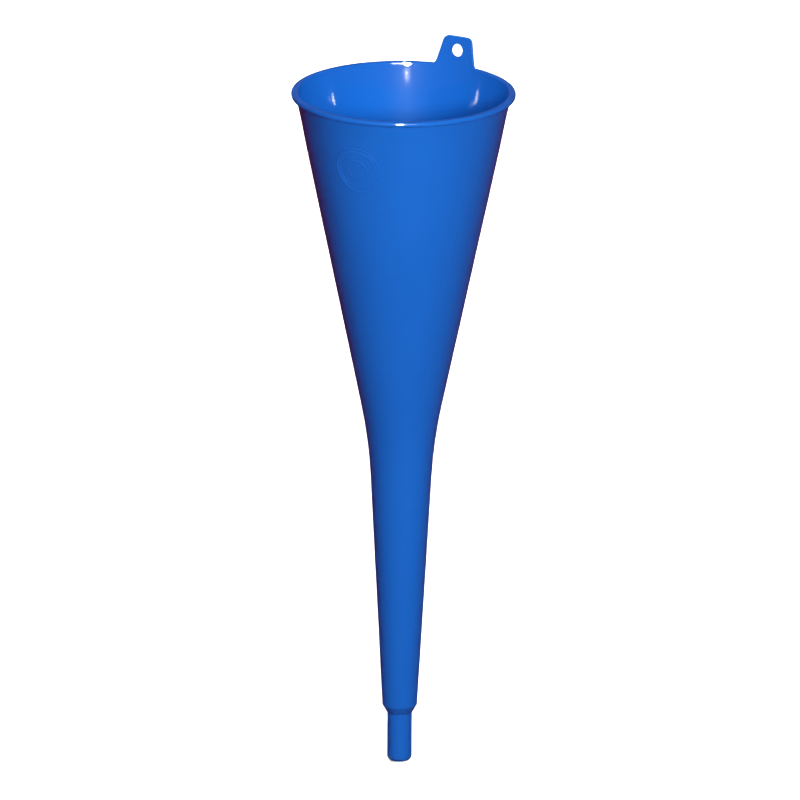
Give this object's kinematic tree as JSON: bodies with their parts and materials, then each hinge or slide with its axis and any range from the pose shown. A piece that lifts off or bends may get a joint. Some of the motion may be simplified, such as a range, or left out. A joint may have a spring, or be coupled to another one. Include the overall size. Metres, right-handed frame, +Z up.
{
  "type": "long-neck fuel funnel",
  "caption": "Long-necked conical funnel with a rolled rim, hang tab, stepped spout tip and a lift-out gauze strainer.",
  "frame": {"origin": "centre of the spout tip's mouth", "axes": "+Z up the funnel's axis to the rim, +Y towards the hang tab"},
  "size_m": [0.114, 0.1152, 0.3708],
  "materials": {
    "body_plastic": "glossy moulded polypropylene, mid blue",
    "tip_plastic": "glossy moulded polypropylene, mid blue, as the body",
    "strainer_plastic": "satin black nylon",
    "gauze_metal": "woven wire, lightly dulled"
  },
  "bodies": {
    "funnel": {"funnel_body": "body_plastic", "spout_tip": "tip_plastic"},
    "strainer": {"strainer_frame": "strainer_plastic", "strainer_gauze": "gauze_metal"}
  },
  "joints": [
    {"name": "strainer_lift", "type": "slide", "parent": "funnel", "child": "strainer", "axis": [0, 0, 1], "range_m": [0, 0.158]}
  ]
}
